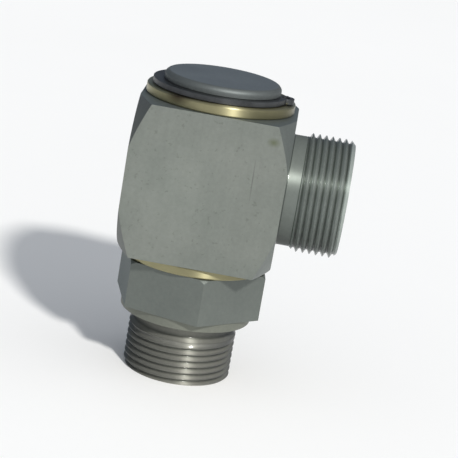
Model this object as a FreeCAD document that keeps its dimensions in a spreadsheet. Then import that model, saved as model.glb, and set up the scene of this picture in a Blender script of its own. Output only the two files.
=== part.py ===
"""Ninety degree rotary swivel elbow for hydraulic tube, millimetres.

A block with a threaded side port turns about an upright hollow stem. The stem
screws in with its stud, its hexagon takes the spanner, and a retaining ring
holds the block on it between two flanged brass bushes.

Frame: the origin is the centre of the stud's end face, Z runs up the stem and
X points out of the side port.
"""
import FreeCAD, Part
import math
import os
import re
import Sketcher

doc = FreeCAD.newDocument("SwivelElbow")

# Driving dimensions, in millimetres and degrees
SIZES = {
    "stud_dia": 33.0,
    "stud_length": 18.7,
    "stud_chamfer": 0.6,
    "undercut_depth": 1.55,
    "undercut_width": 3.4,
    "collar_dia": 40.0,
    "collar_height": 2.9,
    "hex_shoulder": 3.0,
    "hex_height": 14.2,
    "hex_turn": 42.8,
    "hex_chamfer_depth": 0.8,
    "hex_chamfer_angle": 50.0,
    "stem_dia": 35.0,
    "stem_rim": 1.0,
    "end_land": 2.6,
    "flow_dia": 20.0,
    "drill_angle": 118.0,
    "drill_depth_past_axis": 7.0,
    "chamber_dia": 27.0,
    "chamber_land": 1.2,
    "cross_hole_dia": 12.0,
    "seal_groove_dia": 29.3,
    "seal_groove_width": 5.4,
    "seal_land": 0.9,
    "seal_width": 3.9,
    "backup_width": 1.4,
    "block_side": 46.0,
    "port_face_reach": 23.5,
    "back_face_reach": 22.85,
    "end_circle_dia": 49.6,
    "end_turning_angle": 32.0,
    "bush_clearance": 0.03,
    "bore_clearance": 0.08,
    "seal_clearance": 0.02,
    "thrust_clearance": 0.05,
    "flange_reach": 4.75,
    "flange_height": 2.9,
    "flange_chamfer": 0.35,
    "sleeve_dia": 40.0,
    "sleeve_length": 5.4,
    "counterbore_depth": 5.5,
    "ring_clearance": 0.3,
    "ring_thickness": 1.5,
    "ring_groove_dia": 33.0,
    "ring_groove_width": 1.6,
    "ring_back_width": 4.2,
    "ring_front_width": 3.2,
    "ring_lug_reach": 5.2,
    "ring_lug_angle": 26.0,
    "ring_lug_hole": 2.5,
    "ring_mouth": 11.0,
    "ring_turn": 21.0,
    "port_dia": 36.0,
    "neck_depth": 1.3,
    "port_start": 28.9,
    "port_reach": 42.0,
    "port_chamfer": 1.4,
    "tube_dia": 25.0,
    "tube_clearance": 0.05,
    "socket_depth": 9.5,
    "mouth_dia": 27.9,
    "cone_angle": 24.0,
}

sheet = doc.addObject("Spreadsheet::Sheet", "sizes")
for row, (alias, value) in enumerate(SIZES.items(), start=1):
    sheet.set(f"A{row}", alias)
    sheet.set(f"B{row}", str(value))
    sheet.setAlias(f"B{row}", alias)
doc.recompute()

# Levels along the stem, each one worked out from the sizes below it
HEX_BOTTOM = "(stud_length + collar_height)"
HEX_TOP = f"({HEX_BOTTOM} + hex_height)"
BLOCK_BOTTOM = f"({HEX_TOP} + thrust_clearance + flange_height)"
PORT_AXIS = f"({BLOCK_BOTTOM} + block_side / 2)"
BLOCK_TOP = f"({BLOCK_BOTTOM} + block_side)"
RING_BOTTOM = f"({BLOCK_TOP} + flange_height + ring_clearance)"
RING_GROOVE_TOP = f"({RING_BOTTOM} + ring_groove_width)"
STEM_TOP = f"({RING_GROOVE_TOP} + end_land)"

# How far the seal grooves' walls lie from the port's axis, above it and below
SEAL_FAR = "(block_side / 2 - counterbore_depth - seal_land)"
SEAL_NEAR = f"({SEAL_FAR} - seal_groove_width)"

# Radii of the running surfaces
BUSH_BORE = "(stem_dia / 2 + bush_clearance)"
BLOCK_BORE = "(stem_dia / 2 + bore_clearance)"

# Where a sketch's lines are drawn before its constraints hold them
ROUGH_CENTRE = FreeCAD.Vector(60, 60, 0)
ROUGH_RADIUS = 20.0

# How far a cut reaches past the metal it takes away, and the least volume that a feature changes
OVERCUT = 1.0
LEAST_CHANGE = 0.1


def with_sheet(expression):
    """The expression with each size's name pointing at its cell."""
    return re.sub(r"[a-z_]+", lambda word: f"sizes.{word[0]}" if word[0] in SIZES else word[0], expression)


def bind(item, path, expression):
    item.setExpression(path, with_sheet(expression))


def new_body(name, level="0", turn="0"):
    """A body that carries its node's name and stands at a level of the stem, turned about Z."""
    body = doc.addObject("PartDesign::Body", name)
    body.Label = name
    body.Placement = FreeCAD.Placement(FreeCAD.Vector(0, 0, 0), FreeCAD.Rotation(FreeCAD.Vector(0, 0, 1), 0))
    bind(body, "Placement.Base.z", level)
    bind(body, "Placement.Rotation.Angle", turn)
    return body


def new_sketch(body, name, role, level="0"):
    """An empty sketch on one of the body's own origin planes, raised by a level."""
    plane = next(item for item in body.Origin.OriginFeatures if item.Role == role)
    sketch = body.newObject("Sketcher::SketchObject", name)
    sketch.AttachmentSupport = (plane, [""])
    sketch.MapMode = "FlatFace"
    bind(sketch, "AttachmentOffset.Base.z", level)
    return sketch


def place_point(sketch, geometry, point, across, up):
    """Holds a point at a distance across and up from the sketch's origin."""
    for kind, axis, expression in (("DistanceX", -2, across), ("DistanceY", -1, up)):
        if expression == "0":
            sketch.addConstraint(Sketcher.Constraint("PointOnObject", geometry, point, axis))
        else:
            number = sketch.addConstraint(Sketcher.Constraint(kind, -1, 1, geometry, point, 1.0))
            bind(sketch, f"Constraints[{number}]", expression)


def add_outline(sketch, corners):
    """A closed outline, drawn roughly as a regular polygon and then held at its corners."""
    first = sketch.GeometryCount
    count = len(corners)
    rough = []
    for step in range(count):
        angle = 2 * math.pi * step / count
        rough.append(ROUGH_CENTRE + FreeCAD.Vector(math.cos(angle), math.sin(angle), 0) * ROUGH_RADIUS)
    for step in range(count):
        sketch.addGeometry(Part.LineSegment(rough[step], rough[(step + 1) % count]), False)
    for step in range(count):
        following = first + (step + 1) % count
        sketch.addConstraint(Sketcher.Constraint("Coincident", first + step, 2, following, 1))
    for step, (across, up) in enumerate(corners):
        place_point(sketch, first + step, 1, across, up)


def add_circle(sketch, across, up, diameter):
    circle = Part.Circle(ROUGH_CENTRE, FreeCAD.Vector(0, 0, 1), ROUGH_RADIUS)
    geometry = sketch.addGeometry(circle, False)
    number = sketch.addConstraint(Sketcher.Constraint("Diameter", geometry, 2 * ROUGH_RADIUS))
    bind(sketch, f"Constraints[{number}]", diameter)
    place_point(sketch, geometry, 3, across, up)


def add_feature(body, kind, name, sketch):
    feature = body.newObject(kind, name)
    feature.Profile = sketch
    sketch.Visibility = False
    return feature


def turn_profile(body, kind, name, axis, outlines):
    """A Revolution or a Groove of outlines drawn in the XZ plane, about that sketch's own axis."""
    sketch = new_sketch(body, name + "Profile", "XZ_Plane")
    for corners in outlines:
        add_outline(sketch, corners)
    feature = add_feature(body, f"PartDesign::{kind}", name, sketch)
    feature.ReferenceAxis = (sketch, [axis])
    feature.Angle = 360
    return feature


def check_volume(body, before, grows):
    """Stops the build when a feature has not changed the body the way it should."""
    doc.recompute()
    change = body.Shape.Volume - before
    if (change > 0) != grows or abs(change) < LEAST_CHANGE:
        raise RuntimeError(f"{body.Label}: {body.Tip.Name} changed the volume by {change:.3f}")


def band(low, high, inner, outer):
    """A rectangle of a turned profile between two levels and two radii."""
    return [(inner, low), (outer, low), (outer, high), (inner, high)]


def make_swivel_body():
    """The block: square bar turned down at both ends, with the side port and the stem's bore.

    Its own origin is where the port's axis crosses the stem's.
    """
    body = new_body("swivel_body", PORT_AXIS)
    half = "block_side / 2"

    square = new_sketch(body, "BarSection", "YZ_Plane")
    add_outline(square, [(f"-{half}", f"-{half}"), (half, f"-{half}"), (half, half), (f"-{half}", half)])
    bar = add_feature(body, "PartDesign::Pad", "Bar", square)
    bar.SideType = "Two sides"
    bind(bar, "Length", "port_face_reach")
    bind(bar, "Length2", "back_face_reach")
    check_volume(body, 0, grows=True)

    bare = body.Shape.Volume
    beyond = f"(block_side * sqrt(2) / 2 + {OVERCUT})"
    run = f"(({beyond} - end_circle_dia / 2) * tan(end_turning_angle))"
    turn_profile(body, "Groove", "EndTurning", "H_Axis", [
        [
            ("port_face_reach", "end_circle_dia / 2"),
            ("port_face_reach", beyond),
            (f"port_face_reach - {run}", beyond),
        ],
        [
            ("-back_face_reach", "end_circle_dia / 2"),
            ("-back_face_reach", beyond),
            (f"{run} - back_face_reach", beyond),
        ],
    ])
    check_volume(body, bare, grows=False)

    bare = body.Shape.Volume
    neck = "(port_dia / 2 - neck_depth)"
    turn_profile(body, "Revolution", "PortStub", "H_Axis", [[
        ("0", "0"),
        ("0", neck),
        ("port_start - neck_depth", neck),
        ("port_start", "port_dia / 2"),
        ("port_reach - port_chamfer", "port_dia / 2"),
        ("port_reach", "port_dia / 2 - port_chamfer"),
        ("port_reach", "0"),
    ]])
    check_volume(body, bare, grows=True)

    bare = body.Shape.Volume
    socket = "(tube_dia / 2 + tube_clearance)"
    cone_run = f"((mouth_dia / 2 - {socket}) / tan(cone_angle / 2))"
    turn_profile(body, "Groove", "PortBore", "H_Axis", [[
        ("0", "0"),
        ("0", "flow_dia / 2"),
        ("port_reach - socket_depth", "flow_dia / 2"),
        ("port_reach - socket_depth", socket),
        (f"port_reach - {cone_run}", socket),
        ("port_reach", "mouth_dia / 2"),
        ("port_reach", "0"),
    ]])
    check_volume(body, bare, grows=False)

    bare = body.Shape.Volume
    shelf = f"({half} - counterbore_depth)"
    turn_profile(body, "Groove", "StemBore", "V_Axis", [[
        ("0", f"-{half}"),
        ("sleeve_dia / 2", f"-{half}"),
        ("sleeve_dia / 2", f"-{shelf}"),
        (BLOCK_BORE, f"-{shelf}"),
        (BLOCK_BORE, shelf),
        ("sleeve_dia / 2", shelf),
        ("sleeve_dia / 2", half),
        ("0", half),
    ]])
    check_volume(body, bare, grows=False)
    return body


def make_stem():
    """The stem: stud, collar and hexagon below, the turned journal above, hollow up to the port."""
    body = new_body("stem")
    undercut = "stud_dia / 2 - undercut_depth"
    turn_profile(body, "Revolution", "Turning", "V_Axis", [[
        ("0", "0"),
        ("stud_dia / 2 - stud_chamfer", "0"),
        ("stud_dia / 2", "stud_chamfer"),
        ("stud_dia / 2", "stud_length - undercut_width - undercut_depth"),
        (undercut, "stud_length - undercut_width"),
        (undercut, "stud_length"),
        ("collar_dia / 2", "stud_length"),
        ("collar_dia / 2", HEX_BOTTOM),
        ("stem_dia / 2", HEX_BOTTOM),
        ("stem_dia / 2", f"{STEM_TOP} - stem_rim"),
        ("stem_dia / 2 - stem_rim", STEM_TOP),
        ("0", STEM_TOP),
    ]])
    check_volume(body, 0, grows=True)

    bare = body.Shape.Volume
    corner = "(stem_dia / 2 + hex_shoulder) / cos(30)"
    hexagon = new_sketch(body, "HexSection", "XY_Plane", HEX_BOTTOM)
    add_outline(hexagon, [
        (f"{corner} * cos(hex_turn + {60 * side})", f"{corner} * sin(hex_turn + {60 * side})")
        for side in range(6)
    ])
    pad = add_feature(body, "PartDesign::Pad", "Hexagon", hexagon)
    bind(pad, "Length", "hex_height")
    check_volume(body, bare, grows=True)

    bare = body.Shape.Volume
    beyond = f"({corner} + {OVERCUT})"
    drop = f"(({OVERCUT} + hex_chamfer_depth) * tan(hex_chamfer_angle))"
    turn_profile(body, "Groove", "HexChamfer", "V_Axis", [[
        (f"{corner} - hex_chamfer_depth", HEX_TOP),
        (beyond, HEX_TOP),
        (beyond, f"{HEX_TOP} - {drop}"),
    ]])
    check_volume(body, bare, grows=False)

    bare = body.Shape.Volume
    drill_top = f"({PORT_AXIS} + drill_depth_past_axis)"
    turn_profile(body, "Groove", "FlowBore", "V_Axis", [[
        ("0", "0"),
        ("flow_dia / 2", "0"),
        ("flow_dia / 2", drill_top),
        ("0", f"{drill_top} + flow_dia / 2 / tan(drill_angle / 2)"),
    ]])
    check_volume(body, bare, grows=False)

    bare = body.Shape.Volume
    outside = f"(stem_dia / 2 + {OVERCUT})"
    chamber = f"({SEAL_NEAR} - chamber_land)"
    turn_profile(body, "Groove", "Grooves", "V_Axis", [
        band(f"{PORT_AXIS} - {SEAL_FAR}", f"{PORT_AXIS} - {SEAL_NEAR}", "seal_groove_dia / 2", outside),
        band(f"{PORT_AXIS} - {chamber}", f"{PORT_AXIS} + {chamber}", "chamber_dia / 2", outside),
        band(f"{PORT_AXIS} + {SEAL_NEAR}", f"{PORT_AXIS} + {SEAL_FAR}", "seal_groove_dia / 2", outside),
        band(RING_BOTTOM, RING_GROOVE_TOP, "ring_groove_dia / 2", outside),
    ])
    check_volume(body, bare, grows=False)

    bare = body.Shape.Volume
    section = new_sketch(body, "CrossHoleSection", "YZ_Plane")
    add_circle(section, "0", PORT_AXIS, "cross_hole_dia")
    hole = add_feature(body, "PartDesign::Pocket", "CrossHole", section)
    hole.Reversed = True
    bind(hole, "Length", "stem_dia / 2")
    check_volume(body, bare, grows=False)

    bare = body.Shape.Volume
    pattern = body.newObject("PartDesign::PolarPattern", "CrossHoles")
    pattern.Originals = [hole]
    pattern.Axis = (section, ["V_Axis"])
    pattern.Angle = 360
    pattern.Occurrences = 4
    body.Tip = pattern
    check_volume(body, bare, grows=False)
    return body


def make_flange_bush(name, level, turned_over):
    """A flanged bush, pressed into the block: flange on the block's face, sleeve in its bore."""
    body = new_body(name, level)
    flange = "stem_dia / 2 + flange_reach"
    if turned_over:
        body.Placement = FreeCAD.Placement(body.Placement.Base, FreeCAD.Rotation(FreeCAD.Vector(1, 0, 0), 180))
        bind(body, "Placement.Rotation.Angle", "180")
    turn_profile(body, "Revolution", "Bush", "V_Axis", [[
        (BUSH_BORE, "-sleeve_length"),
        ("sleeve_dia / 2", "-sleeve_length"),
        ("sleeve_dia / 2", "0"),
        (f"{flange} - flange_chamfer", "0"),
        (flange, "flange_chamfer"),
        (flange, "flange_height - flange_chamfer"),
        (f"{flange} - flange_chamfer", "flange_height"),
        (BUSH_BORE, "flange_height"),
    ]])
    check_volume(body, 0, grows=True)
    return body


def make_retaining_ring():
    """An external retaining ring: wide at the back, with two drilled lugs beside its mouth."""
    body = new_body("retaining_ring", RING_BOTTOM, "ring_turn")
    shift = "(ring_back_width - ring_front_width) / 2"
    section = new_sketch(body, "RingSection", "XY_Plane")
    add_circle(section, f"-{shift}", "0", "ring_groove_dia + ring_back_width + ring_front_width")
    add_circle(section, "0", "0", "ring_groove_dia")
    ring = add_feature(body, "PartDesign::Pad", "Ring", section)
    bind(ring, "Length", "ring_thickness")
    check_volume(body, 0, grows=True)

    bare = body.Shape.Volume
    lug_circle = "(ring_groove_dia + ring_lug_reach) / 2"
    lug_across = f"{lug_circle} * cos(ring_lug_angle)"
    lug_aside = f"{lug_circle} * sin(ring_lug_angle)"
    section = new_sketch(body, "LugSection", "XY_Plane")
    add_circle(section, lug_across, lug_aside, "ring_lug_reach")
    add_circle(section, lug_across, f"-{lug_aside}", "ring_lug_reach")
    lugs = add_feature(body, "PartDesign::Pad", "Lugs", section)
    bind(lugs, "Length", "ring_thickness")
    check_volume(body, bare, grows=True)

    bare = body.Shape.Volume
    inside = f"(ring_groove_dia / 2 - {OVERCUT})"
    outside = f"(ring_groove_dia / 2 + ring_lug_reach + {OVERCUT})"
    side = "ring_mouth / 2"
    section = new_sketch(body, "MouthSection", "XY_Plane")
    add_outline(section, [(inside, f"-{side}"), (outside, f"-{side}"), (outside, side), (inside, side)])
    mouth = add_feature(body, "PartDesign::Pocket", "Mouth", section)
    mouth.Reversed = True
    bind(mouth, "Length", "ring_thickness")
    check_volume(body, bare, grows=False)

    bare = body.Shape.Volume
    section = new_sketch(body, "LugHoleSection", "XY_Plane")
    add_circle(section, lug_across, lug_aside, "ring_lug_hole")
    add_circle(section, lug_across, f"-{lug_aside}", "ring_lug_hole")
    holes = add_feature(body, "PartDesign::Pocket", "LugHoles", section)
    holes.Reversed = True
    bind(holes, "Length", "ring_thickness")
    check_volume(body, bare, grows=False)
    return body


def make_groove_ring(name, level, width):
    """A ring of rectangular section, as it lies squeezed in a seal groove."""
    body = new_body(name, level)
    turn_profile(body, "Revolution", "RingSection", "V_Axis",
                 [band("0", width, "seal_groove_dia / 2", f"{BLOCK_BORE} - seal_clearance")])
    check_volume(body, 0, grows=True)
    return body


def make_seal_set(side, sign):
    """The seal beside the chamber and, away from the pressure, the flat ring that backs it.

    The sign is + above the port's axis and - below it.
    """
    wall = f"{PORT_AXIS} {sign} {SEAL_FAR}"
    if sign == "+":
        backup_level = f"{wall} - backup_width"
        seal_level = f"{backup_level} - seal_width"
    else:
        backup_level = wall
        seal_level = f"{backup_level} + backup_width"
    return [
        make_groove_ring(f"{side}_seal", seal_level, "seal_width"),
        make_groove_ring(f"{side}_backup_ring", backup_level, "backup_width"),
    ]


nodes = [
    make_swivel_body(),
    make_stem(),
    make_flange_bush("upper_flange_bush", BLOCK_TOP, turned_over=False),
    make_flange_bush("lower_flange_bush", BLOCK_BOTTOM, turned_over=True),
    make_retaining_ring(),
]
nodes += make_seal_set("upper", "+")
nodes += make_seal_set("lower", "-")

doc.recompute()
for item in doc.Objects:
    if {"Invalid", "Error"} & set(item.State):
        raise RuntimeError(f"{item.Name} failed: {item.State}")
for node in nodes:
    if node.Shape.isNull() or not node.Shape.isValid() or len(node.Shape.Solids) != 1:
        raise RuntimeError(f"{node.Label} is not one valid solid")

os.makedirs("parts", exist_ok=True)
for node in nodes:
    node.Shape.exportStep(f"parts/{node.Label}.step")
    box = node.Shape.BoundBox
    print(f"{node.Label}: {node.Shape.Volume:.1f} mm3, x {box.XMin:.2f} to {box.XMax:.2f}, "
          f"y {box.YMin:.2f} to {box.YMax:.2f}, z {box.ZMin:.2f} to {box.ZMax:.2f}")
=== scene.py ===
"""Looks of the hydraulic swivel elbow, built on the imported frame. Lengths are metres.

The threads are cut as real helices, the block and hexagon get their turned
corners and broken edges, and each metal gets its own procedural finish.
"""
import math

import bmesh
import bpy
from mathutils import Matrix, Vector


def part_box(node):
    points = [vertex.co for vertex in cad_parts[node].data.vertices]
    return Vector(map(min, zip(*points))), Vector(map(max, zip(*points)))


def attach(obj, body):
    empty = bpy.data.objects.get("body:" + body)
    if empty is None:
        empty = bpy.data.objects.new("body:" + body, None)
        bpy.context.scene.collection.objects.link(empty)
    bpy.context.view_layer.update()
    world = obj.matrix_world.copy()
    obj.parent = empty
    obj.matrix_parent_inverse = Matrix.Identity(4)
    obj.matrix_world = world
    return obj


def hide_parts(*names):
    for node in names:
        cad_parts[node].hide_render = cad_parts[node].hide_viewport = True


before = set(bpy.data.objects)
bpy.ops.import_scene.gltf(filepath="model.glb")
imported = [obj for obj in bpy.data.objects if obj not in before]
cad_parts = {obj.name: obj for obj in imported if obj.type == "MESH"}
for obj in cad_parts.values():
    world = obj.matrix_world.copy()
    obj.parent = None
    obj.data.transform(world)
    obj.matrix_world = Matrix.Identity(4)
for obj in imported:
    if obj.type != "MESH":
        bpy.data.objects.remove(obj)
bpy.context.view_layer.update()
MM = 0.001

# Places read from the frame
BLOCK_LOW, BLOCK_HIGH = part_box("swivel_body")
HALF_SIDE = BLOCK_HIGH.y
BACK_FACE = BLOCK_LOW.x
PORT_REACH = BLOCK_HIGH.x
BLOCK_BOTTOM = BLOCK_LOW.z
BLOCK_TOP = BLOCK_HIGH.z
PORT_AXIS = (BLOCK_BOTTOM + BLOCK_TOP) / 2
PORT_CENTRE = (0, 0, PORT_AXIS)
STEM_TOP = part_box("stem")[1].z
FLANGE_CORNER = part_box("upper_flange_bush")[1]
FLANGE_RADIUS = FLANGE_CORNER.x
FLANGE_TOP = FLANGE_CORNER.z
FLANGE_HEIGHT = FLANGE_TOP - BLOCK_TOP
FLANGE_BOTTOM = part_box("lower_flange_bush")[0].z
RING_BOTTOM, RING_TOP = [corner.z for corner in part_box("retaining_ring")]
UPPER_SEAL_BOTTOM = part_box("upper_seal")[0].z
UPPER_BACKUP_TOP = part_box("upper_backup_ring")[1].z
LOWER_SEAL_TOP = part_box("lower_seal")[1].z
LOWER_BACKUP_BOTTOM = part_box("lower_backup_ring")[0].z

# Sizes of the stem, its journal, bushes and bores
STEM_RADIUS = 17.5 * MM
STEM_RIM = 1.0 * MM
BUSH_CLEARANCE = 0.03 * MM
BUSH_BORE = STEM_RADIUS + BUSH_CLEARANCE
BORE_CLEARANCE = 0.08 * MM
BLOCK_BORE = STEM_RADIUS + BORE_CLEARANCE
SLEEVE_RADIUS = 20.0 * MM
SLEEVE_LENGTH = 5.4 * MM
SHELF_DEPTH = 5.5 * MM
FLANGE_CHAMFER = 0.35 * MM
FLOW_RADIUS = 10.0 * MM
DRILL_TOP = PORT_AXIS + 7.0 * MM
DRILL_HALF_ANGLE = math.radians(59)
CHAMBER_RADIUS = 13.5 * MM
CHAMBER_LAND = 1.2 * MM
CROSS_HOLE_RADIUS = 6.0 * MM
SEAL_FLOOR_RADIUS = 14.65 * MM
GROOVE_CLEARANCE = 0.1 * MM

# Sizes of the collar, the stud and the hexagon; the stud's surface meets the journal's at the seam
COLLAR_RADIUS = 20.0 * MM
COLLAR_HEIGHT = 2.9 * MM
STUD_LENGTH = 18.7 * MM
STUD_SEAM = STUD_LENGTH - 0.6 * MM
STUD_RADIUS = 16.5 * MM
STUD_END_RADIUS = 15.9 * MM
UNDERCUT_WIDTH = 3.4 * MM
UNDERCUT_RADIUS = 14.95 * MM
THRUST_PLAY = 0.05 * MM
HEX_BOTTOM = STUD_LENGTH + COLLAR_HEIGHT
HEX_TOP = FLANGE_BOTTOM - THRUST_PLAY
HEX_APOTHEM = 20.5 * MM
HEX_TURN = math.radians(42.8)
HEX_CHAMFER_DEPTH = 0.8 * MM
HEX_CHAMFER_ANGLE = math.radians(50)

# Sizes of the block's turned ends, the neck and the port
END_CIRCLE_RADIUS = 24.8 * MM
END_TURNING_ANGLE = math.radians(32)
PORT_FACE = 23.5 * MM
NECK_RADIUS = 16.7 * MM
NECK_FILLET = 0.5 * MM
PORT_RADIUS = 18.0 * MM
PORT_START = 28.9 * MM
PORT_END_RADIUS = 16.6 * MM
SOCKET_RADIUS = 12.55 * MM
SOCKET_DEPTH = 9.5 * MM
MOUTH_RADIUS = 13.95 * MM
CONE_HALF_ANGLE = math.radians(12)

# Sizes of both threads; the run-out, the lead and the stud's full thread are counted in turns
PITCH = 2.0 * MM
THREAD_DEPTH = 1.227 * MM
RUN_OUT = 0.4
LEAD = 2
STUD_TURNS = 6.2

# Sizes of the retaining ring, which is widest opposite its mouth
RING_GROOVE_RADIUS = 16.5 * MM
RING_BACK_WIDTH = 4.2 * MM
RING_FRONT_WIDTH = 3.2 * MM
RING_LUG_REACH = 5.2 * MM
RING_LUG_ANGLE = math.radians(26)
RING_LUG_HOLE = 1.25 * MM
RING_MOUTH = 11.0 * MM
RING_TURN = math.radians(21)

# Roundings, broken edges, and how far cutting tools and hidden joints overreach
FINE_ROUNDING = 0.15 * MM
MOUTH_ROUNDING = 0.2 * MM
STUD_ROUNDING = 0.4 * MM
UNDERCUT_ROUNDING = 0.8 * MM
STEM_END_ROUNDING = 0.6 * MM
BLOCK_EDGE = 0.3 * MM
HEX_EDGE = 0.25 * MM
RING_EDGE = 0.12 * MM
OVERCUT = 1.0 * MM
RING_OVERCUT = 0.5 * MM
OVERLAP = 0.05 * MM
PORT_OVERLAP = 0.01 * MM

# How finely round things are cut up, and what counts as one point, one flat and one smooth face
SEGMENTS = 192
CROSS_HOLE_SEGMENTS = 64
LUG_SEGMENTS = 48
LUG_HOLE_SEGMENTS = 32
STEPS_PER_PITCH = 16
WELD = 1e-6
FLATNESS = math.radians(0.05)
SMOOTH_ANGLE = math.radians(38)

# Directions in which a face can look, with the port at the right
LEFT = (-1, 0, 0)
RIGHT = (1, 0, 0)
UP = (0, 0, 1)
DOWN = (0, 0, -1)

# How deep the surface relief of every finish may be
RELIEF_DEPTH = 0.02 * MM

# View of the photograph: the camera's aim, its distance and its tilt
YAW = math.radians(1.42)
PITCH_DOWN = math.radians(15.4)
ROLL = math.radians(9.84)
DISTANCE = 500.24 * MM
SHIFT_RIGHT = 9.04 * MM
SHIFT_UP = -14.87 * MM
FOCAL_PIXELS = 1664.98
FRAME_PIXELS = 458
SENSOR = 36.0


def new_object(name, data):
    """An object in the scene that shows the given mesh, lamp or camera."""
    item = bpy.data.objects.new(name, data)
    bpy.context.scene.collection.objects.link(item)
    return item


def turned_shell(name, rows, along="Z", centre=(0, 0, 0), segments=SEGMENTS):
    """A surface swept round an axis; each row is a radius and a height, or a function of the angle."""
    vertices = []
    for row in rows:
        for column in range(segments + 1):
            angle = 2 * math.pi * column / segments
            radius, height = row(angle) if callable(row) else row
            across, aside = radius * math.cos(angle), radius * math.sin(angle)
            point = (across, aside, height) if along == "Z" else (height, across, aside)
            vertices.append(Vector(point) + Vector(centre))
    faces = []
    for row in range(len(rows) - 1):
        for column in range(segments):
            corner = row * (segments + 1) + column
            faces.append((corner, corner + 1, corner + segments + 2, corner + segments + 1))
    mesh = bpy.data.meshes.new(name)
    mesh.from_pydata(vertices, [], faces)
    solid = bmesh.new()
    solid.from_mesh(mesh)
    bmesh.ops.remove_doubles(solid, verts=solid.verts, dist=WELD)
    bmesh.ops.dissolve_degenerate(solid, edges=solid.edges, dist=WELD)
    bmesh.ops.recalc_face_normals(solid, faces=solid.faces)
    solid.to_mesh(mesh)
    solid.free()
    return new_object(name, mesh)


def rounded(corners, radius, steps=3):
    """The corners of a profile, each inner one replaced by a short curve."""
    largest_share = 0.45
    points = [corners[0]]
    for before, corner, after in zip(corners, corners[1:], corners[2:]):
        here = Vector(corner)
        back, ahead = Vector(before) - here, Vector(after) - here
        reach = min(radius, largest_share * back.length, largest_share * ahead.length)
        start, end = here + back.normalized() * reach, here + ahead.normalized() * reach
        for step in range(steps + 1):
            part = step / steps
            point = start * (1 - part) ** 2 + here * 2 * part * (1 - part) + end * part ** 2
            points.append((point.x, point.y))
    points.append(corners[-1])
    return points


def closed_ring(corners, radius):
    """A closed profile with all of its corners rounded."""
    middle = ((corners[0][0] + corners[-1][0]) / 2, (corners[0][1] + corners[-1][1]) / 2)
    return rounded([middle] + corners + [middle], radius)


def thread_fall(phase, softness):
    """How deep a thread's section lies below its crest, from 0 to 1, at a phase of the pitch."""
    crest_half = 1 / 24
    root_half = 1 / 12
    away = abs(phase - round(phase))
    fall = min(1.0, max(0.0, (away - crest_half) / (0.5 - crest_half - root_half)))
    smooth = fall * fall * (3 - 2 * fall)
    return fall * (1 - softness) + smooth * softness


def thread_rows(start, end, crest, start_radius, end_radius, softness, phase, last_turn=math.inf):
    """Rows that follow a right-hand helix from start to end, cut off by a chamfer at each end.

    The helix begins LEAD turns early, so that the first rows go all the way round. The
    groove gets shallower over RUN_OUT turns and is gone by the last turn.
    """
    spacing = PITCH / STEPS_PER_PITCH
    count = math.ceil((end - start + LEAD * PITCH) / spacing)

    def helix_row(number):
        fall = thread_fall(number / STEPS_PER_PITCH, softness)

        def at(angle):
            turn = angle / (2 * math.pi) - phase
            height = start + (number / STEPS_PER_PITCH - LEAD + turn) * PITCH
            height = min(end, max(start, height))
            groove = number // STEPS_PER_PITCH - LEAD + turn
            depth = THREAD_DEPTH * min(1.0, max(0.0, (last_turn - groove) / RUN_OUT))
            radius = crest - depth * fall
            radius = min(radius, start_radius + height - start, end_radius + end - height)
            return radius, height
        return at
    return [helix_row(number) for number in range(count + STEPS_PER_PITCH * LEAD)]


def bake(item):
    """Puts what the object's modifiers make into its mesh."""
    shown = item.evaluated_get(bpy.context.evaluated_depsgraph_get())
    mesh = bpy.data.meshes.new_from_object(shown)
    item.modifiers.clear()
    item.data = mesh


def carve(item, tool, operation="DIFFERENCE"):
    """Cuts, joins or keeps what the tool overlaps, and takes the tool away."""
    modifier = item.modifiers.new("Carve", "BOOLEAN")
    modifier.operation = operation
    modifier.solver = "EXACT"
    modifier.object = tool
    bake(item)
    bpy.data.objects.remove(tool)


def join_flats(item):
    """Makes one face of each flat, after taking out the slivers that a cut leaves."""
    solid = bmesh.new()
    solid.from_mesh(item.data)
    bmesh.ops.remove_doubles(solid, verts=solid.verts, dist=10 * WELD)
    bmesh.ops.dissolve_limit(solid, angle_limit=FLATNESS, verts=solid.verts, edges=solid.edges)
    solid.to_mesh(item.data)
    solid.free()


def break_edges(item, width, least_angle=20, segments=3):
    """Rounds off the edges that turn by more than the least angle, in degrees."""
    modifier = item.modifiers.new("BrokenEdges", "BEVEL")
    modifier.width = width
    modifier.segments = segments
    modifier.limit_method = "ANGLE"
    modifier.angle_limit = math.radians(least_angle)
    bake(item)


def box_object(name, low, high):
    """A plain box between its lowest and its highest corner."""
    mesh = bpy.data.meshes.new(name)
    solid = bmesh.new()
    bmesh.ops.create_cube(solid, size=1)
    for vertex in solid.verts:
        vertex.co = Vector([low[i] if vertex.co[i] < 0 else high[i] for i in range(3)])
    solid.to_mesh(mesh)
    solid.free()
    return new_object(name, mesh)


def drum(name, radius, low, high, **placing):
    """A plain cylinder; the placing is what turned_shell takes after its rows."""
    return turned_shell(name, [(0, low), (radius, low), (radius, high), (0, high)], **placing)


def finish_piece(item, material, body, node):
    """Smooth shading that keeps flat faces flat, a finish, and the piece's place in the frame."""
    item.data.shade_smooth()
    item.data.set_sharp_from_angle(angle=SMOOTH_ANGLE)
    item.modifiers.new("FlatFaces", "WEIGHTED_NORMAL").keep_sharp = True
    item.data.materials.clear()
    item.data.materials.append(material)
    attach(item, body)
    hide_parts(node)


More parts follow.
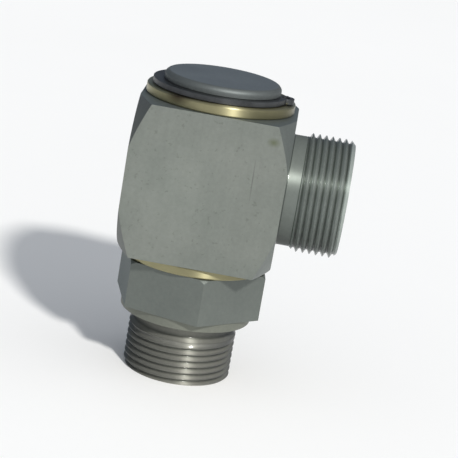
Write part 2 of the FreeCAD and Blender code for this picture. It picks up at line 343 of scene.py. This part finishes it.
class Finish:
    """A node material built up layer by layer; its tone is the colour that tints work on."""

    def __init__(self, name, metallic, roughness):
        self.material = bpy.data.materials.new(name)
        self.material.use_nodes = True
        self.nodes = self.material.node_tree.nodes
        self.links = self.material.node_tree.links
        self.shader = self.nodes["Principled BSDF"]
        self.shader.inputs["Metallic"].default_value = metallic
        self.shader.inputs["Roughness"].default_value = roughness
        coordinates = self.nodes.new("ShaderNodeTexCoord")
        self.place = coordinates.outputs["Object"]
        self.outward = coordinates.outputs["Normal"]
        self.tone = None

    def noise(self, scale, stretch=(1, 1, 1), detail=4.0, roughness=0.55):
        """A cloudy pattern from 0 to 1 that is fixed to the piece."""
        mapping = self.nodes.new("ShaderNodeMapping")
        mapping.inputs["Scale"].default_value = stretch
        self.links.new(self.place, mapping.inputs["Vector"])
        noise = self.nodes.new("ShaderNodeTexNoise")
        noise.inputs["Scale"].default_value = scale
        noise.inputs["Detail"].default_value = detail
        noise.inputs["Roughness"].default_value = roughness
        self.links.new(mapping.outputs["Vector"], noise.inputs["Vector"])
        return noise.outputs["Fac"]

    def ramp(self, source, stops):
        """Colours that change with the source from stop to stop."""
        ramp = self.nodes.new("ShaderNodeValToRGB")
        elements = ramp.color_ramp.elements
        while len(elements) < len(stops):
            elements.new(0.5)
        for element, (position, colour) in zip(elements, stops):
            element.position = position
            element.color = (*colour, 1)
        self.links.new(source, ramp.inputs["Fac"])
        return ramp.outputs["Color"]

    def mix(self, factor, first, second, blend="MIX"):
        """Goes from the first colour to the second as the factor goes from 0 to 1."""
        # The colours of a Mix node are its inputs 6 and 7 and its output 2
        mix = self.nodes.new("ShaderNodeMix")
        mix.data_type = "RGBA"
        mix.blend_type = blend
        for socket, value in ((mix.inputs[0], factor), (mix.inputs[6], first), (mix.inputs[7], second)):
            if isinstance(value, bpy.types.NodeSocket):
                self.links.new(value, socket)
            elif isinstance(value, tuple):
                socket.default_value = (*value, 1)
            else:
                socket.default_value = value
        return mix.outputs[2]

    def multiply(self, first, second):
        """The product of two colours."""
        return self.mix(1.0, first, second, "MULTIPLY")

    def tint(self, factor, colour):
        """Multiplies the finish's tone by a colour where the factor is 1."""
        self.tone = self.mix(factor, self.tone, self.multiply(self.tone, colour))

    def colour(self, source):
        """Gives the shader its colour."""
        self.links.new(source, self.shader.inputs["Base Color"])

    def rescale(self, source, low, high, new_low=0.0, new_high=1.0):
        """Spreads low to high over new_low to new_high, and holds it at both ends."""
        spread = self.nodes.new("ShaderNodeMapRange")
        spread.inputs["From Min"].default_value = low
        spread.inputs["From Max"].default_value = high
        spread.inputs["To Min"].default_value = new_low
        spread.inputs["To Max"].default_value = new_high
        self.links.new(source, spread.inputs["Value"])
        return spread.outputs["Result"]

    def vary(self, socket, source, low, high, top=1.0):
        """Drives one of the shader's values from low to high while the source goes from 0 to top."""
        self.links.new(self.rescale(source, 0.0, top, low, high), self.shader.inputs[socket])

    def uneven(self, source, reach):
        """Lets the roughness drift by up to the given reach to both sides of its own value."""
        middle = self.shader.inputs["Roughness"].default_value
        self.vary("Roughness", source, middle - reach, middle + reach)

    def turned(self, axis, strength):
        """Stretches highlights across turning marks that run round the axis."""
        tangent = self.nodes.new("ShaderNodeTangent")
        tangent.direction_type = "RADIAL"
        tangent.axis = axis
        self.links.new(tangent.outputs["Tangent"], self.shader.inputs["Tangent"])
        self.shader.inputs["Anisotropic"].default_value = strength
        self.shader.inputs["Anisotropic Rotation"].default_value = 0.25

    def vector_step(self, operation, source, other=(0, 0, 0)):
        """A node that works out something from the source and a fixed second vector."""
        step = self.nodes.new("ShaderNodeVectorMath")
        step.operation = operation
        step.inputs[1].default_value = other
        self.links.new(source, step.inputs[0])
        return step

    def height_above(self, axis, centre, low, high):
        """0 to 1 between two distances from an axis that runs through the centre."""
        mapping = self.nodes.new("ShaderNodeMapping")
        mapping.inputs["Location"].default_value = [-place for place in centre]
        self.links.new(self.place, mapping.inputs["Vector"])
        other_axes = [float(name != axis) for name in "XYZ"]
        flat = self.vector_step("MULTIPLY", mapping.outputs["Vector"], other_axes)
        length = self.vector_step("LENGTH", flat.outputs["Vector"])
        return self.rescale(length.outputs["Value"], low, high)

    def share_along(self, source, direction, low, high):
        """0 to 1 by how far a vector reaches in a direction."""
        along = self.vector_step("DOT_PRODUCT", source, direction)
        return self.rescale(along.outputs["Value"], low, high)

    def facing(self, direction, low, high):
        """0 to 1 by how squarely a face looks in a direction."""
        return self.share_along(self.outward, direction, low, high)

    def beyond(self, direction, low, high):
        """0 to 1 by how far a place lies in a direction."""
        return self.share_along(self.place, direction, low, high)

    def spot(self, centre, half_sizes, lean=0.0):
        """1 in the middle of a soft ellipsoid that leans some degrees about Y, and 0 outside it."""
        mapping = self.nodes.new("ShaderNodeMapping")
        mapping.vector_type = "TEXTURE"
        mapping.inputs["Location"].default_value = centre
        mapping.inputs["Rotation"].default_value = (0, math.radians(lean), 0)
        mapping.inputs["Scale"].default_value = half_sizes
        self.links.new(self.place, mapping.inputs["Vector"])
        ball = self.nodes.new("ShaderNodeTexGradient")
        ball.gradient_type = "SPHERICAL"
        self.links.new(mapping.outputs["Vector"], ball.inputs["Vector"])
        return ball.outputs["Fac"]

    def relief(self, source, strength):
        """Raises the surface a little where the source is high."""
        bump = self.nodes.new("ShaderNodeBump")
        bump.inputs["Strength"].default_value = strength
        bump.inputs["Distance"].default_value = RELIEF_DEPTH
        self.links.new(source, bump.inputs["Height"])
        self.links.new(bump.outputs["Normal"], self.shader.inputs["Normal"])


def grey(level):
    """A colour without a hue."""
    return level, level, level


def on_front(right, up):
    """A place on the block's front, in millimetres right of the stem's axis and above the port's."""
    return right * MM, -HALF_SIDE, PORT_AXIS + up * MM


def plated_steel(name, dark, pale, roughness, metallic=0.75):
    """Zinc-plated steel with a slow change of tone over a fine mottling, not yet coloured."""
    finish = Finish(name, metallic, roughness)
    slow = finish.noise(scale=45, detail=3)
    fine = finish.noise(scale=900, detail=6, roughness=0.7)
    tone = finish.ramp(slow, [(0.3, dark), (0.7, pale)])
    finish.tone = finish.multiply(tone, finish.ramp(fine, [(0.3, grey(0.88)), (0.7, grey(1.0))]))
    finish.uneven(slow, 0.05)
    finish.relief(fine, 0.2)
    return finish


def block_plating():
    """The block's plating: streaks, specks, painted shade on the turned ends and the top, a worn patch,
    a scratch and a stain.
    """
    finish = plated_steel("block_steel", (0.194, 0.213, 0.192), (0.237, 0.254, 0.23), roughness=0.48)
    streaks = finish.noise(scale=1, stretch=(450, 450, 60), detail=4)
    finish.tint(1.0, finish.ramp(streaks, [(0.3, grey(0.95)), (0.6, grey(1.0))]))
    specks = finish.noise(scale=800, detail=2)
    finish.tint(1.0, finish.ramp(specks, [(0.27, (0.82, 0.83, 0.81)), (0.36, grey(1.0))]))
    # Painted shade: darker on the left turned end, a little darker and bluer on the right one and on
    # the top
    finish.tint(finish.facing(LEFT, 0.6, 0.8), (0.63, 0.63, 0.65))
    finish.tint(finish.facing(RIGHT, 0.6, 0.8), (0.82, 0.84, 0.87))
    finish.tint(finish.facing(UP, 0.8, 0.95), (0.76, 0.81, 0.9))
    worn = finish.spot(on_front(-8.0, 0.0), (24.0 * MM, 5.0 * MM, 20.0 * MM))
    finish.tint(worn, grey(1.15))
    scratch = finish.spot(on_front(13.87, 6.3), (0.25 * MM, 1.0 * MM, 8.0 * MM), lean=-1.0)
    scratched = finish.mix(scratch, finish.tone, (0.13, 0.14, 0.125))
    stain = finish.spot(on_front(18.0, 18.3), (2.2 * MM, 1.0 * MM, 1.6 * MM))
    finish.colour(finish.mix(stain, scratched, (0.125, 0.14, 0.09)))
    return finish.material


def journal_plating():
    """The journal's plating, with a painted sky reflection, paler and bluer, on the end that shows
    above the ring.
    """
    dark, pale = (0.145, 0.16, 0.16), (0.172, 0.19, 0.187)
    finish = plated_steel("journal_steel", dark, pale, roughness=0.6, metallic=0.9)
    # Painted sky reflection: the end face that looks up is paler and bluer
    finish.tint(finish.facing(UP, 0.9, 0.98), (1.24, 1.28, 1.4))
    finish.colour(finish.tone)
    return finish.material


def hexagon_plating():
    """The hexagon's plating, with painted shade, darker and bluer, on the flat that looks away from the
    port.
    """
    dark, pale = (0.13, 0.146, 0.135), (0.158, 0.175, 0.16)
    finish = plated_steel("hexagon_steel", dark, pale, roughness=0.52, metallic=0.55)
    # Painted shade: the flat that looks left is darker and bluer
    finish.tint(finish.facing(LEFT, 0.8, 0.95), (0.58, 0.67, 0.71))
    finish.colour(finish.tone)
    return finish.material


def collar_plating():
    """The collar's plating, a little yellower than the hexagon's."""
    dark, pale = (0.16, 0.17, 0.143), (0.195, 0.205, 0.172)
    finish = plated_steel("collar_steel", dark, pale, roughness=0.5, metallic=0.55)
    finish.colour(finish.tone)
    return finish.material


def turned_plating(name, dark, pale, axis, shine):
    """Zinc plating over fine turning marks, which draw each highlight out along the axis."""
    finish = plated_steel(name, dark, pale, roughness=0.5, metallic=0.6)
    finish.turned(axis, shine)
    finish.shader.inputs["Coat Roughness"].default_value = 0.12
    finish.shader.inputs["Specular Tint"].default_value = (*grey(0.3), 1)
    return finish


def paint_thread_shade(finish, axis, centre, plain_radius, crest_radius, root_shade, roughness):
    """The tone with painted shade in a thread's roots and darker crests, and a softer sheen beyond the
    thread.

    The plain radius is that of the neck or the undercut, where there is no painted shade.
    """
    height = finish.height_above(axis, centre, plain_radius, crest_radius)
    root = 1 - THREAD_DEPTH / (crest_radius - plain_radius)
    # Painted shade: darkest in the roots, and darker towards the crests; the neck and the undercut keep
    # their tone
    thread_shade = finish.ramp(height, [
        (0.0, (1.0, 1.0, 0.99)),
        (root, root_shade),
        (root + 0.25, grey(1.0)),
        (0.85, grey(0.95)),
        (1.0, grey(0.7)),
    ])
    finish.vary("Coat Weight", height, low=0.1, high=0.5, top=root)
    finish.vary("Roughness", height, low=0.53, high=roughness, top=root)
    return finish.multiply(finish.tone, thread_shade)


def port_plating():
    """The port's plating: painted light on the flanks that face left, painted shade on its underside
    and a paler end chamfer.
    """
    dark, pale = (0.212, 0.237, 0.222), (0.26, 0.286, 0.266)
    finish = turned_plating("port_steel", dark, pale, "X", shine=0.85)
    # Painted light: the flanks that face left are brightened, standing in for light from the
    # neighbouring flanks
    finish.tint(finish.facing(LEFT, 0.3, 0.7), grey(1.7))
    # Painted shade: darker towards the underside
    finish.tint(finish.facing(DOWN, 0.0, 0.9), grey(0.5))
    # The colour of the painted shade in the port thread's roots
    thread_shade = (0.25, 0.27, 0.25)
    shaded_tone = paint_thread_shade(finish, "X", PORT_CENTRE, NECK_RADIUS, PORT_RADIUS, thread_shade, roughness=0.42)
    # The end chamfer is paler than the rest of the thread
    chamfer_start = PORT_REACH - (PORT_RADIUS - PORT_END_RADIUS)
    chamfer = finish.beyond(RIGHT, chamfer_start, PORT_REACH - 1.0 * MM)
    paler_end = finish.multiply(finish.tone, grey(1.7))
    finish.colour(finish.mix(chamfer, shaded_tone, paler_end))
    return finish.material


def stud_plating():
    """The stud's plating, with painted light on its lower flanks and painted shade round its sides."""
    dark, pale = (0.25, 0.252, 0.224), (0.307, 0.307, 0.273)
    finish = turned_plating("stud_steel", dark, pale, "Z", shine=0.94)
    # Painted light: the flanks that face down are brightened
    finish.tint(finish.facing(DOWN, 0.3, 0.7), grey(1.2))
    # Painted shade: the side that looks left is darker
    finish.tint(finish.facing(LEFT, 0.0, 0.9), grey(0.5))
    # Painted shade: the side that looks right is darker and a little bluer
    finish.tint(finish.facing(RIGHT, 0.3, 1.0), (0.42, 0.44, 0.48))
    # The colour of the painted shade in the stud thread's roots
    thread_shade = (0.5, 0.52, 0.5)
    shaded_tone = paint_thread_shade(finish, "Z", (0, 0, 0), UNDERCUT_RADIUS, STUD_RADIUS, thread_shade, roughness=0.55)
    finish.colour(shaded_tone)
    return finish.material


def turned_brass(name, painted_left_light):
    """Turned brass, with painted shade at its right, and painted light that brightens its left by the
    given factor.
    """
    finish = Finish(name, metallic=1.0, roughness=0.42)
    slow = finish.noise(scale=70, detail=3)
    finish.tone = finish.ramp(slow, [(0.3, (0.282, 0.262, 0.155)), (0.7, (0.38, 0.353, 0.21))])
    # Painted light: the side that looks left is brightened by the given factor
    finish.tint(finish.facing(LEFT, 0.0, 0.5), grey(painted_left_light))
    # Painted shade: the side that looks right is darker
    finish.tint(finish.facing(RIGHT, 0.4, 1.0), grey(0.6))
    # A dark brown spot on the upper flange's top at the front left
    dark_brown_spot = finish.spot((-11.5 * MM, -19.0 * MM, FLANGE_TOP), (5.5 * MM, 4.0 * MM, 2.4 * MM))
    finish.colour(finish.mix(dark_brown_spot, finish.tone, (0.07, 0.047, 0.03)))
    finish.uneven(slow, 0.04)
    finish.turned("Z", 0.88)
    finish.relief(finish.noise(scale=1, stretch=(200, 200, 9000), detail=2), 0.3)
    return finish.material


def spring_steel():
    """The ring's dark, blotchy steel."""
    finish = Finish("spring_steel", metallic=1.0, roughness=0.42)
    slow = finish.noise(scale=160, detail=4)
    finish.colour(finish.ramp(slow, [(0.3, (0.045, 0.047, 0.05)), (0.75, (0.10, 0.105, 0.11))]))
    finish.uneven(slow, 0.08)
    finish.relief(finish.noise(scale=1500), 0.2)
    return finish.material


def seal_rubber():
    """Black rubber with fine specks."""
    finish = Finish("seal_rubber", metallic=0.0, roughness=0.6)
    speck = finish.noise(scale=1200)
    finish.colour(finish.ramp(speck, [(0.3, (0.012, 0.012, 0.013)), (0.8, (0.03, 0.03, 0.031))]))
    finish.relief(speck, 0.2)
    return finish.material


def backup_plastic():
    """The backup rings' off-white plastic."""
    finish = Finish("backup_plastic", metallic=0.0, roughness=0.5)
    slow = finish.noise(scale=200)
    finish.colour(finish.ramp(slow, [(0.3, (0.6, 0.57, 0.5)), (0.7, (0.75, 0.73, 0.68))]))
    finish.relief(slow, 0.1)
    return finish.material


def make_block(material):
    """Square bar with both ends turned down, bored for the stem, its bushes and the port."""
    low_corner = (BACK_FACE - OVERCUT, -HALF_SIDE, BLOCK_BOTTOM)
    high_corner = (PORT_FACE + OVERCUT, HALF_SIDE, BLOCK_TOP)
    block = box_object("block", low_corner, high_corner)
    clear_of_corners = HALF_SIDE * 1.5
    run = (clear_of_corners - END_CIRCLE_RADIUS) * math.tan(END_TURNING_ANGLE)
    turning = turned_shell("turning", [
        (0, BACK_FACE),
        (END_CIRCLE_RADIUS, BACK_FACE),
        (clear_of_corners, BACK_FACE + run),
        (clear_of_corners, PORT_FACE - run),
        (END_CIRCLE_RADIUS, PORT_FACE),
        (0, PORT_FACE),
    ], "X", PORT_CENTRE)
    carve(block, turning, "INTERSECT")
    join_flats(block)
    break_edges(block, BLOCK_EDGE)
    carve(block, turned_shell("stem_bore", [
        (0, BLOCK_BOTTOM - OVERCUT),
        (SLEEVE_RADIUS, BLOCK_BOTTOM - OVERCUT),
        (SLEEVE_RADIUS, BLOCK_BOTTOM + SHELF_DEPTH),
        (BLOCK_BORE, BLOCK_BOTTOM + SHELF_DEPTH),
        (BLOCK_BORE, BLOCK_TOP - SHELF_DEPTH),
        (SLEEVE_RADIUS, BLOCK_TOP - SHELF_DEPTH),
        (SLEEVE_RADIUS, BLOCK_TOP + OVERCUT),
        (0, BLOCK_TOP + OVERCUT),
    ]))
    carve(block, drum("port_bore", FLOW_RADIUS, 0, PORT_FACE + OVERCUT, along="X", centre=PORT_CENTRE))
    finish_piece(block, material, "block_group", "swivel_body")


def make_port(material):
    """The neck, its thread, and the 24 degree cone with the tube's socket inside."""
    neck_start = PORT_FACE - PORT_OVERLAP
    fillet_middle = NECK_FILLET * 0.3
    cone_run = (MOUTH_RADIUS - SOCKET_RADIUS) / math.tan(CONE_HALF_ANGLE)
    thread_start = PORT_START - (PORT_RADIUS - NECK_RADIUS)
    neck = [
        (FLOW_RADIUS, neck_start),
        (NECK_RADIUS + NECK_FILLET, neck_start),
        (NECK_RADIUS + fillet_middle, PORT_FACE + fillet_middle),
        (NECK_RADIUS, PORT_FACE + NECK_FILLET),
        (NECK_RADIUS, thread_start - PORT_OVERLAP),
    ]
    thread = thread_rows(
        thread_start, PORT_REACH, PORT_RADIUS,
        start_radius=NECK_RADIUS, end_radius=PORT_END_RADIUS, softness=0.25, phase=0.5,
    )
    inside = rounded([
        (PORT_END_RADIUS, PORT_REACH),
        (MOUTH_RADIUS, PORT_REACH),
        (SOCKET_RADIUS, PORT_REACH - cone_run),
        (SOCKET_RADIUS, PORT_REACH - SOCKET_DEPTH),
        (FLOW_RADIUS, PORT_REACH - SOCKET_DEPTH),
        (FLOW_RADIUS, neck_start),
    ], MOUTH_ROUNDING)
    port = turned_shell("port", neck + thread + inside, "X", PORT_CENTRE)
    finish_piece(port, material, "block_group", "swivel_body")


def make_stud(material):
    """The stud: its thread from the end's chamfer to the undercut, round the flow bore."""
    undercut_start = STUD_LENGTH - UNDERCUT_WIDTH
    slope_start = undercut_start - (STUD_RADIUS - UNDERCUT_RADIUS)
    thread = thread_rows(
        0, slope_start, STUD_RADIUS, last_turn=STUD_TURNS,
        start_radius=STUD_END_RADIUS, end_radius=STUD_RADIUS, softness=0.8, phase=0.7,
    )
    above = rounded([
        (STUD_RADIUS, slope_start),
        (STUD_RADIUS, slope_start + WELD),
        (UNDERCUT_RADIUS, undercut_start),
        (UNDERCUT_RADIUS, STUD_SEAM),
    ], UNDERCUT_ROUNDING)
    inside = rounded([
        (UNDERCUT_RADIUS, STUD_SEAM),
        (FLOW_RADIUS, STUD_SEAM),
        (FLOW_RADIUS, 0),
        (STUD_END_RADIUS, 0),
    ], STUD_ROUNDING)
    stud = turned_shell("stud", thread + above + inside)
    finish_piece(stud, material, "stem_group", "stem")


def make_journal(material):
    """The turned stem above the stud: seal grooves, chamber with cross holes, and ring groove."""
    ring_groove_top = RING_TOP + GROOVE_CLEARANCE
    lower_groove_top = LOWER_SEAL_TOP + GROOVE_CLEARANCE
    upper_groove_bottom = UPPER_SEAL_BOTTOM - GROOVE_CLEARANCE
    chamber_bottom = lower_groove_top + CHAMBER_LAND
    chamber_top = upper_groove_bottom - CHAMBER_LAND
    outside = rounded([
        (FLOW_RADIUS, STUD_SEAM),
        (UNDERCUT_RADIUS, STUD_SEAM),
        (UNDERCUT_RADIUS, HEX_BOTTOM),
        (STEM_RADIUS, HEX_BOTTOM),
        (STEM_RADIUS, LOWER_BACKUP_BOTTOM),
        (SEAL_FLOOR_RADIUS, LOWER_BACKUP_BOTTOM),
        (SEAL_FLOOR_RADIUS, lower_groove_top),
        (STEM_RADIUS, lower_groove_top),
        (STEM_RADIUS, chamber_bottom),
        (CHAMBER_RADIUS, chamber_bottom),
        (CHAMBER_RADIUS, chamber_top),
        (STEM_RADIUS, chamber_top),
        (STEM_RADIUS, upper_groove_bottom),
        (SEAL_FLOOR_RADIUS, upper_groove_bottom),
        (SEAL_FLOOR_RADIUS, UPPER_BACKUP_TOP),
        (STEM_RADIUS, UPPER_BACKUP_TOP),
        (STEM_RADIUS, RING_BOTTOM),
        (RING_GROOVE_RADIUS, RING_BOTTOM),
        (RING_GROOVE_RADIUS, ring_groove_top),
        (STEM_RADIUS, ring_groove_top),
    ], FINE_ROUNDING)
    end = rounded([
        (STEM_RADIUS, ring_groove_top),
        (STEM_RADIUS, STEM_TOP - STEM_RIM),
        (STEM_RADIUS - STEM_RIM, STEM_TOP),
        (0, STEM_TOP),
    ], STEM_END_ROUNDING, steps=4)
    drill_tip = DRILL_TOP + FLOW_RADIUS / math.tan(DRILL_HALF_ANGLE)
    bore = [(0, drill_tip), (FLOW_RADIUS, DRILL_TOP), (FLOW_RADIUS, STUD_SEAM)]
    journal = turned_shell("journal", bore + outside[1:-1] + end)
    hole_ends = -STEM_RADIUS, STEM_RADIUS
    shape = {"along": "X", "segments": CROSS_HOLE_SEGMENTS}
    carve(journal, drum("hole_x", CROSS_HOLE_RADIUS, *hole_ends, centre=PORT_CENTRE, **shape))
    hole_y = drum("hole_y", CROSS_HOLE_RADIUS, *hole_ends, **shape)
    quarter_turn = Matrix.Rotation(math.radians(90), 4, "Z")
    hole_y.data.transform(Matrix.Translation(PORT_CENTRE) @ quarter_turn)
    carve(journal, hole_y)
    finish_piece(journal, material, "stem_group", "stem")


def make_collar(material):
    """The turned collar below the hexagon, which seats on the spot face round the threaded hole."""
    inside = UNDERCUT_RADIUS - OVERLAP
    collar = turned_shell("collar", closed_ring([
        (inside, STUD_LENGTH),
        (COLLAR_RADIUS, STUD_LENGTH),
        (COLLAR_RADIUS, HEX_BOTTOM),
        (inside, HEX_BOTTOM),
    ], FINE_ROUNDING))
    finish_piece(collar, material, "stem_group", "stem")


def make_hexagon(material):
    """The spanner hexagon, chamfered on top like a nut, with a bore for the journal."""
    corner_radius = HEX_APOTHEM / math.cos(math.radians(30))
    angles = [HEX_TURN + math.radians(60 * side) for side in range(6)]
    corners = [(corner_radius * math.cos(angle), corner_radius * math.sin(angle)) for angle in angles]
    mesh = bpy.data.meshes.new("hexagon")
    solid = bmesh.new()
    bottom = [solid.verts.new((*corner, HEX_BOTTOM)) for corner in corners]
    top = [solid.verts.new((*corner, HEX_TOP)) for corner in corners]
    solid.faces.new(list(reversed(bottom)))
    solid.faces.new(top)
    for side in range(6):
        following = (side + 1) % 6
        solid.faces.new((bottom[side], bottom[following], top[following], top[side]))
    solid.to_mesh(mesh)
    solid.free()
    hexagon = new_object("hexagon", mesh)
    clear_of_corners = corner_radius + 2 * OVERCUT
    chamfer_radius = corner_radius - HEX_CHAMFER_DEPTH
    drop = (clear_of_corners - chamfer_radius) * math.tan(HEX_CHAMFER_ANGLE)
    carve(hexagon, turned_shell("chamfer", [
        (0, HEX_BOTTOM - OVERCUT),
        (clear_of_corners, HEX_BOTTOM - OVERCUT),
        (clear_of_corners, HEX_TOP - drop),
        (chamfer_radius, HEX_TOP),
        (0, HEX_TOP),
    ]), "INTERSECT")
    break_edges(hexagon, HEX_EDGE)
    carve(hexagon, drum("hex_bore", STEM_RADIUS - OVERLAP, HEX_BOTTOM - OVERCUT, HEX_TOP + OVERCUT))
    finish_piece(hexagon, material, "stem_group", "stem")


def make_bush(name, face, outward, material):
    """A flanged bush: outward is 1 when its flange lies above its sleeve and -1 when below."""
    def at(radius, rise):
        return radius, face + outward * rise
    corners = closed_ring([
        at(BUSH_BORE, -SLEEVE_LENGTH),
        at(SLEEVE_RADIUS, -SLEEVE_LENGTH),
        at(SLEEVE_RADIUS, 0),
        at(FLANGE_RADIUS - FLANGE_CHAMFER, 0),
        at(FLANGE_RADIUS, FLANGE_CHAMFER),
        at(FLANGE_RADIUS, FLANGE_HEIGHT - FLANGE_CHAMFER),
        at(FLANGE_RADIUS - FLANGE_CHAMFER, FLANGE_HEIGHT),
        at(BUSH_BORE, FLANGE_HEIGHT),
    ], FINE_ROUNDING)
    bush = turned_shell(name + "_turned", corners)
    finish_piece(bush, material, "block_group", name)


def make_ring(material):
    """The retaining ring, eccentric outside, with two drilled lugs beside its mouth."""
    shift = (RING_BACK_WIDTH - RING_FRONT_WIDTH) / 2
    outer = RING_GROOVE_RADIUS + (RING_BACK_WIDTH + RING_FRONT_WIDTH) / 2
    lug_circle = RING_GROOVE_RADIUS + RING_LUG_REACH / 2
    lug_right, lug_aside = lug_circle * math.cos(RING_LUG_ANGLE), lug_circle * math.sin(RING_LUG_ANGLE)
    lugs = [(lug_right, -lug_aside, 0), (lug_right, lug_aside, 0)]
    below, above = RING_BOTTOM - RING_OVERCUT, RING_TOP + RING_OVERCUT
    ring = drum("ring", outer, RING_BOTTOM, RING_TOP, centre=(-shift, 0, 0))
    for lug in lugs:
        tab = drum("lug", RING_LUG_REACH / 2, RING_BOTTOM, RING_TOP, centre=lug, segments=LUG_SEGMENTS)
        carve(ring, tab, "UNION")
    carve(ring, drum("inside", RING_GROOVE_RADIUS, below, above))
    mouth_low = (RING_GROOVE_RADIUS - RING_OVERCUT, -RING_MOUTH / 2, below)
    mouth_high = (RING_GROOVE_RADIUS + RING_LUG_REACH + RING_OVERCUT, RING_MOUTH / 2, above)
    carve(ring, box_object("mouth", mouth_low, mouth_high))
    for lug in lugs:
        carve(ring, drum("hole", RING_LUG_HOLE, below, above, centre=lug, segments=LUG_HOLE_SEGMENTS))
    break_edges(ring, RING_EDGE, least_angle=40, segments=2)
    ring.data.transform(Matrix.Rotation(RING_TURN, 4, "Z"))
    finish_piece(ring, material, "stem_group", "retaining_ring")


def make_camera():
    """The camera of the photograph, which looks past the port's axis and is tilted to one side."""
    camera = new_object("camera", bpy.data.cameras.new("camera"))
    camera.data.sensor_width = SENSOR
    camera.data.lens = FOCAL_PIXELS / FRAME_PIXELS * SENSOR
    back = Vector((
        math.sin(YAW) * math.cos(PITCH_DOWN),
        -math.cos(YAW) * math.cos(PITCH_DOWN),
        math.sin(PITCH_DOWN),
    ))
    right = Vector((math.cos(YAW), math.sin(YAW), 0))
    up = back.cross(right)
    place = Vector(PORT_CENTRE) + back * DISTANCE + right * SHIFT_RIGHT + up * SHIFT_UP
    tilted_right = right * math.cos(ROLL) + up * math.sin(ROLL)
    tilted_up = up * math.cos(ROLL) - right * math.sin(ROLL)
    turn = Matrix((tilted_right, tilted_up, back)).transposed().to_4x4()
    camera.matrix_world = Matrix.Translation(place) @ turn
    bpy.context.scene.camera = camera


def make_sun(azimuth, elevation, width, strength, colour):
    """A distant soft lamp; azimuth is degrees right of the part's front, width the lamp's angle."""
    light = bpy.data.lights.new("sun", "SUN")
    light.angle = math.radians(width)
    light.energy = strength
    light.color = colour
    turn, lift = math.radians(azimuth), math.radians(elevation)
    away = Vector((math.sin(turn) * math.cos(lift), -math.cos(turn) * math.cos(lift), math.sin(lift)))
    item = new_object("sun", light)
    item.location = away
    item.rotation_euler = away.to_track_quat("Z", "Y").to_euler()


def make_sky():
    """An even sky that is pale at the right of the camera, and darker and bluer beyond the part."""
    world = bpy.data.worlds.new("sky")
    bpy.context.scene.world = world
    world.use_nodes = True
    nodes, links = world.node_tree.nodes, world.node_tree.links
    pale_side = Vector((0.65, -0.72, 0.25)).normalized()
    towards = nodes.new("ShaderNodeVectorMath")
    towards.operation = "DOT_PRODUCT"
    towards.inputs[1].default_value = pale_side
    links.new(nodes.new("ShaderNodeTexCoord").outputs["Generated"], towards.inputs[0])
    spread = nodes.new("ShaderNodeMapRange")
    spread.inputs["From Min"].default_value = -1
    links.new(towards.outputs["Value"], spread.inputs["Value"])
    ramp = nodes.new("ShaderNodeValToRGB")
    ramp.color_ramp.elements[0].color = (0.06, 0.095, 0.15, 1)
    ramp.color_ramp.elements[1].color = (0.72, 0.73, 0.74, 1)
    links.new(spread.outputs["Result"], ramp.inputs["Fac"])
    links.new(ramp.outputs["Color"], nodes["Background"].inputs["Color"])


def make_stage():
    """A pale floor under a soft grey-blue sky, with one soft sun to the right of the camera."""
    reach = 4.0
    corners = [(-reach, -reach, 0), (reach, -reach, 0), (reach, reach, 0), (-reach, reach, 0)]
    mesh = bpy.data.meshes.new("floor")
    mesh.from_pydata(corners, [], [(0, 1, 2, 3)])
    floor = new_object("floor", mesh)
    paint = Finish("floor_paint", metallic=0.0, roughness=0.9)
    paint.colour(paint.ramp(paint.noise(scale=2), [(0.3, grey(0.92)), (0.7, grey(0.94))]))
    mesh.materials.append(paint.material)
    make_sky()
    make_sun(azimuth=27, elevation=37, width=5, strength=3.1, colour=(1.0, 0.98, 0.94))


bpy.context.scene.view_settings.view_transform = "Standard"
make_camera()
make_stage()

make_block(block_plating())
make_port(port_plating())
make_journal(journal_plating())
make_hexagon(hexagon_plating())
make_collar(collar_plating())
make_stud(stud_plating())
# The two brass finishes differ only in how much painted light lies on their left side
make_bush("upper_flange_bush", BLOCK_TOP, 1, turned_brass("upper_brass", 1.05))
make_bush("lower_flange_bush", BLOCK_BOTTOM, -1, turned_brass("lower_brass", 1.3))
make_ring(spring_steel())

for name, material in (
    ("upper_seal", seal_rubber()),
    ("lower_seal", seal_rubber()),
    ("upper_backup_ring", backup_plastic()),
    ("lower_backup_ring", backup_plastic()),
):
    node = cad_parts[name]
    node.data.materials.clear()
    node.data.materials.append(material)

bpy.context.view_layer.update()
